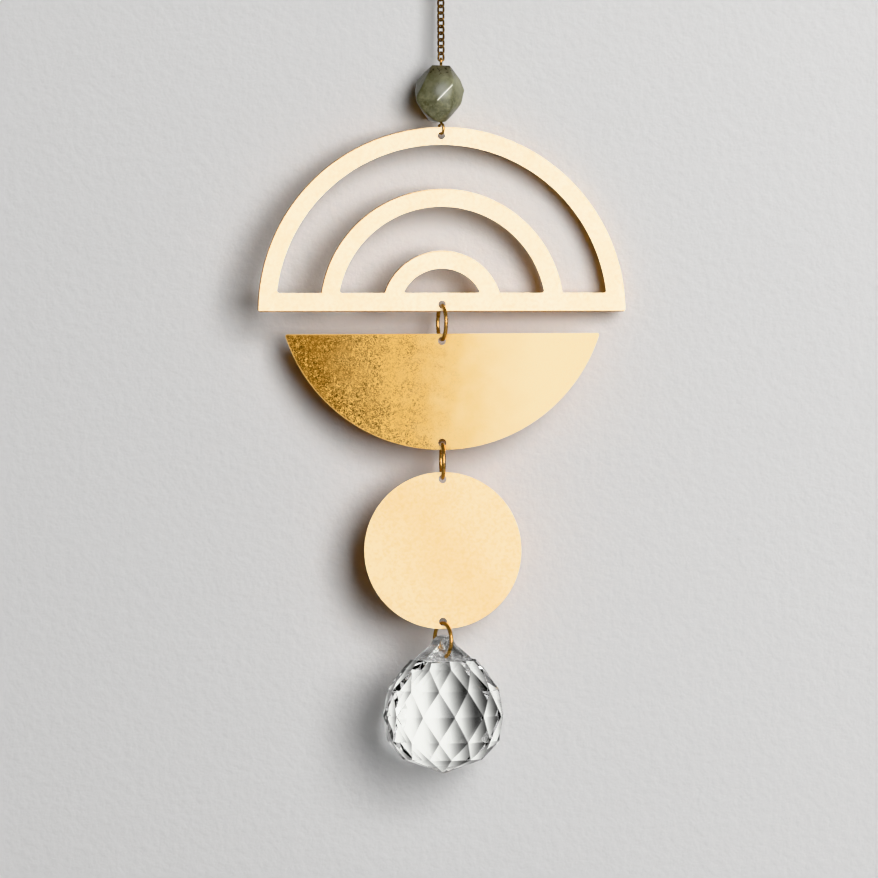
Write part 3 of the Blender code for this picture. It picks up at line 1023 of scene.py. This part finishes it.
def nugget_from(node):
    """Convex nugget through the corners of a solid, without its bore."""
    bm = copy_of(node)
    inside = [v for v in bm.verts if math.hypot(v.co.x, v.co.y) < BORE_RADIUS * 1.1]
    bmesh.ops.delete(bm, geom=inside, context="VERTS")
    corners = [v.co.copy() for v in bm.verts]
    bm.free()
    bm = bmesh.new()
    hull = bmesh.ops.convex_hull(bm, input=[bm.verts.new(corner) for corner in corners])
    spare = set(hull["geom_interior"]) | set(hull["geom_unused"])
    bmesh.ops.delete(bm, geom=[v for v in spare if isinstance(v, bmesh.types.BMVert)],
                     context="VERTS")
    return object_of(bm, "bead")


def coat(obj, *materials):
    """Give an object these materials and no others."""
    obj.data.materials.clear()
    for material in materials:
        obj.data.materials.append(material)


def drill(obj, radius, low, high):
    """Bore a round hole along the vertical axis."""
    bm = bmesh.new()
    bmesh.ops.create_cone(
        bm, cap_ends=True, segments=32, radius1=radius, radius2=radius, depth=high - low,
        matrix=Matrix.Translation((0.0, 0.0, (low + high) / 2)))
    tool = object_of(bm, "bore")
    modifier = obj.modifiers.new("bore", "BOOLEAN")
    modifier.object = tool
    modifier.solver = "EXACT"
    keep_result(obj)
    bpy.data.objects.remove(tool)


RIDGE_FOOT = Vector((-1.2 * MM, -5.6 * MM, bead_middle.z - 1.9 * MM))
RIDGE_HEAD = Vector((3.0 * MM, -5.6 * MM, bead_middle.z + 2.3 * MM))


def ease(value, low, high):
    """0 below one value, 1 above the other, and a smooth step between."""
    share = min(1.0, max(0.0, (value - low) / (high - low)))
    return share * share * (3.0 - 2.0 * share)


def tumble_more(obj, repeats):
    """Smooth the lower half of the bead again, but not the ridge on its front."""
    group = obj.vertex_groups.new(name="tumbled_more")
    ridge = RIDGE_HEAD - RIDGE_FOOT
    for vert in obj.data.vertices:
        share = (vert.co - RIDGE_FOOT).dot(ridge) / ridge.length_squared
        nearest = RIDGE_FOOT + ridge * min(1.0, max(0.0, share))
        weight = ease((vert.co - nearest).length, 0.6 * MM, 1.8 * MM)
        weight *= ease(bead_middle.z - vert.co.z, -1.0 * MM, 1.0 * MM)
        group.add([vert.index], weight, "REPLACE")
    smooth = obj.modifiers.new("tumbled_more", "SMOOTH")
    smooth.vertex_group = group.name
    smooth.factor = 0.5
    smooth.iterations = repeats


bead = nugget_from("stone_bead")
remesh = bead.modifiers.new("even_faces", "REMESH")
remesh.mode = "VOXEL"
remesh.voxel_size = 0.2 * MM
tumble = bead.modifiers.new("tumbled", "SMOOTH")
tumble.factor = 0.5
tumble.iterations = 2
keep_result(bead)
tumble_more(bead, 60)
keep_result(bead)
drill(bead, BORE_RADIUS, bead_low.z - 2 * MM, bead_high.z + 2 * MM)
close_up(bead, split=True)
coat(bead, stone)
smooth_up_to(bead, 45)


# %% [markdown]
# The ball keeps the solid model's facets, because they are what bends the light. Its flat
# triangles are joined, and the long arrises between the facets are broken by a hair, as
# polishing leaves them. The cap above them keeps its moulded skin.

# %% Glass ball
ball_low, ball_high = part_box("crystal_ball")
CAP_START = ball_high.z - 6.4 * MM
FLAT_ANGLE = radians(0.3)
ARRIS_ANGLE = radians(4)


def mark_arrises(bm, top, least_angle):
    """Give the edges between facets, below a height, the full weight for a bevel."""
    weight = bm.edges.layers.float.new("bevel_weight_edge")
    for edge in bm.edges:
        highest = max(vert.co.z for vert in edge.verts)
        if highest < top and edge.calc_face_angle(0.0) > least_angle:
            edge[weight] = 1.0


bm = copy_of("crystal_ball")
bmesh.ops.dissolve_limit(bm, angle_limit=FLAT_ANGLE, verts=bm.verts, edges=bm.edges)
mark_arrises(bm, CAP_START, ARRIS_ANGLE)
ball = object_of(bm, "ball")
arris = ball.modifiers.new("broken_arrises", "BEVEL")
arris.width = 0.07 * MM
arris.segments = 1
arris.limit_method = "WEIGHT"
arris.use_clamp_overlap = False
coat(ball, cut_glass, cap_glass)
for face in ball.data.polygons:
    face.use_smooth = False
    face.material_index = 1 if face.center.z > CAP_START else 0
print("ball faces:", len(ball.data.polygons))


# %% [markdown]
# Every piece rides on the model's one body and hides the solids that it replaces; the table
# also names the material slot that its finish belongs to.

# %% Hand the pieces over
HAND_OVER = [
    (arch, ["arch_plate"], "pale_brass"), (half_moon, ["half_moon_plate"], "gold_brass"),
    (disc, ["round_plate"], "gold_brass"), (chain, LINKS, "wire_brass"),
    (pin, ["bead_pin"], "wire_brass"), (bead, ["stone_bead"], "stone"),
    (ball, ["crystal_ball"], "crystal"),
]
HAND_OVER += [(ring, [node], "wire_brass") for node, ring in rings.items()]
for piece, solids, slot in HAND_OVER:
    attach(piece, "root")
    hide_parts(*solids)
print("pieces:", len(HAND_OVER))


# %% [markdown]
# The suncatcher hangs against a pale plaster wall. The wall leans a little towards it at the
# top, so the ball all but touches it, and from behind it can be seen through, so that the back
# of the plates shows too. A glass ball gathers the light from the right and throws it on the
# wall to its left, and each facet shows that bright and dark once more. Path tracing is slow
# to find such gathered light, so the wall shows it to whatever looks through the glass, as a
# soft step from bright to dark. A pale floor lies well below, and adds no light.

# %% Wall and floor
WALL_AT_TOP = 4.6 * MM
WALL_LEAN = 0.059
BALL_RADIUS = 15 * MM
THROWN_SIZE = 22 * MM
THROWN_STEP = (-3.2 * MM, 3.6 * MM)
THROWN_GLOW = (1.36, 0.05)
THROWN_TURN = radians(8)
WALL_SIDE, WALL_TOP = 0.9, 0.7
FLOOR_SIDE, FLOOR_FRONT, FLOOR_LEVEL = 1.5, -2.5, -0.9


def ray_masks():
    """Masks for what is seen mirrored or through glass before any wall, and directly."""
    ray = add("ShaderNodeLightPath").outputs
    early = calc("LESS_THAN", ray["Diffuse Depth"], 0.5)
    mirrored = calc("GREATER_THAN", ray["Is Glossy Ray"], ray["Is Transmission Ray"])
    through = times(ray["Is Transmission Ray"], early)
    return times(mirrored, early), through, ray["Is Camera Ray"]


def build_plaster():
    material, shader, place = new_finish("plaster", (0.80, 0.795, 0.79), 0.9)
    nodes = material.node_tree.nodes
    link(bump(cloudy(place, 2.5 * MM, 7.0, 0.2, 0.8), 0.1 * MM), shader["Normal"])
    mirrored, through, _ = ray_masks()
    apart = vcalc("SUBTRACT", place, (0.0, 0.0, ball_low.z + BALL_RADIUS))
    slope = (math.cos(THROWN_TURN), 0.0, math.sin(THROWN_TURN))
    along = vcalc("DOT_PRODUCT", apart, slope)
    near = spread(reach(apart), THROWN_SIZE, THROWN_SIZE * 0.7)
    thrown = made("ShaderNodeEmission", {
        "Color": (1.0, 1.0, 0.965, 1.0),
        "Strength": spread(along, *THROWN_STEP, *THROWN_GLOW)})
    lit = made("ShaderNodeMixShader", {
        0: times(through, near), 1: nodes["Principled BSDF"].outputs[0], 2: thrown})
    clear = made("ShaderNodeBsdfTransparent")
    behind = add("ShaderNodeNewGeometry").outputs["Backfacing"]
    either = made("ShaderNodeMixShader", {
        0: calc("MAXIMUM", behind, mirrored), 1: lit, 2: clear})
    link(either, nodes["Material Output"].inputs["Surface"])
    return material


def sheet(name, corners, material):
    """One flat four-cornered face."""
    mesh = bpy.data.meshes.new(name)
    mesh.from_pydata(corners, [], [(0, 1, 2, 3)])
    mesh.materials.append(material)
    obj = new_object(name, mesh)
    obj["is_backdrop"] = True
    return obj


def on_wall(across, height):
    """Point of the wall: its depth behind the hanging line follows from its height."""
    return across, WALL_AT_TOP - WALL_LEAN * height, height


wall = sheet("wall", [
    on_wall(-WALL_SIDE, FLOOR_LEVEL), on_wall(WALL_SIDE, FLOOR_LEVEL),
    on_wall(WALL_SIDE, WALL_TOP), on_wall(-WALL_SIDE, WALL_TOP)], build_plaster())
wall.visible_shadow = False
floor = sheet("floor", [
    (-FLOOR_SIDE, FLOOR_SIDE, FLOOR_LEVEL), (-FLOOR_SIDE, FLOOR_FRONT, FLOOR_LEVEL),
    (FLOOR_SIDE, FLOOR_FRONT, FLOOR_LEVEL), (FLOOR_SIDE, FLOOR_SIDE, FLOOR_LEVEL)],
    new_finish("pale_floor", (0.78, 0.77, 0.76), 0.8)[0])
floor.visible_diffuse = False
print("stage:", wall.name, floor.name)


# %% [markdown]
# One large soft box at the front right does almost all the lighting, as a window would. Every
# light stands upright in one plane, and is given by the part of it that it fills. Straight in
# front, a pale card gives the flat plates something to mirror: it only lights mirrorings, so
# it does not soften the shadows. Cut glass breaks a large light up into a muddle of patches,
# so the key light leaves the ball alone. The ball has a small lamp of its own, which only
# shines through glass and throws the bright spot on the wall behind it.

# %% Light
LIGHT_PLANE = -2.0


def soft_box(name, sides, heights, glow):
    """Rectangular light in a plane in front; glow is its brightness."""
    data = bpy.data.lights.new(name, "AREA")
    data.shape = "RECTANGLE"
    data.size = sides[1] - sides[0]
    data.size_y = heights[1] - heights[0]
    data.energy = glow * math.pi * data.size * data.size_y
    obj = new_object(name, data)
    obj.location = (sum(sides) / 2, LIGHT_PLANE, sum(heights) / 2)
    obj.rotation_euler = (radians(90), 0.0, 0.0)
    obj.visible_camera = False
    return obj


key = soft_box("key_light", (0.4, 1.9), (-0.51, 1.29), 7.9)
card = soft_box("pale_card", (-0.77, 0.4), (-0.71, 1.09), 1.55)
card.visible_diffuse = False
card.visible_transmission = False
lamp = soft_box("glass_lamp", (0.8, 1.2), (0.167, 0.566), 130.0)
lamp.visible_diffuse = False
lamp.visible_glossy = False
not_lit = bpy.data.collections.new("not_lit_by_key")
not_lit.objects.link(ball)
not_lit.collection_objects[0].light_linking.link_state = "EXCLUDE"
key.light_linking.receiver_collection = not_lit
print("lights:", key.name, card.name, lamp.name)


# %% [markdown]
# The room adds a little light from all around. Brass mirrors more of it, and most from behind
# the wall, so that the plates' backs are not black. Seen directly or in the glass it is pale.

# %% Room
ROOM_FILL = 0.035
ROOM_THROUGH_GLASS = 0.6
ROOM_TO_CAMERA = 0.75
world = bpy.data.worlds.new("room")
bpy.context.scene.world = world
world.use_nodes = True
begin(world.node_tree)
mirrored, through, to_camera = ray_masks()
backwards = axes_of(add("ShaderNodeTexCoord").outputs["Generated"])["Y"]
fill = calc("MULTIPLY_ADD", mirrored, spread(backwards, 0.2, 0.8, 0.2, 0.5), ROOM_FILL)
fill = calc("MULTIPLY_ADD", through, ROOM_THROUGH_GLASS, fill)
background = world.node_tree.nodes["Background"].inputs
link(made("ShaderNodeMix", {0: to_camera, 2: fill, 3: ROOM_TO_CAMERA}), background["Strength"])
background["Color"].default_value = (1.0, 0.99, 0.98, 1.0)
bpy.context.scene.view_settings.view_transform = "Khronos PBR Neutral"
print("room:", world.name)


# %% [markdown]
# The camera stands straight in front with a long lens, a step and a half away, so that the
# plates are not distorted.

# %% Camera
camera_data = bpy.data.cameras.new("camera")
camera_data.sensor_width = 36.0
camera_data.lens = 241.6
camera = new_object("camera", camera_data)
camera.location = (-0.84 * MM, -1.5, -121.65 * MM)
camera.rotation_euler = (radians(90), radians(0.2), 0.0)
bpy.context.scene.camera = camera
print("camera at:", [round(value, 3) for value in camera.location])


# %% [markdown]
# Last, the sizes of the solid model and of the finished pieces are written down, to see that
# the looks have not changed the object's size.

# %% Compare the sizes and finish
new_box = [list(corner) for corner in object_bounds()]
for label, (low, high) in (("solid", cad_box), ("finished", new_box)):
    print(label, [round((b - a) / MM, 2) for a, b in zip(low, high)])
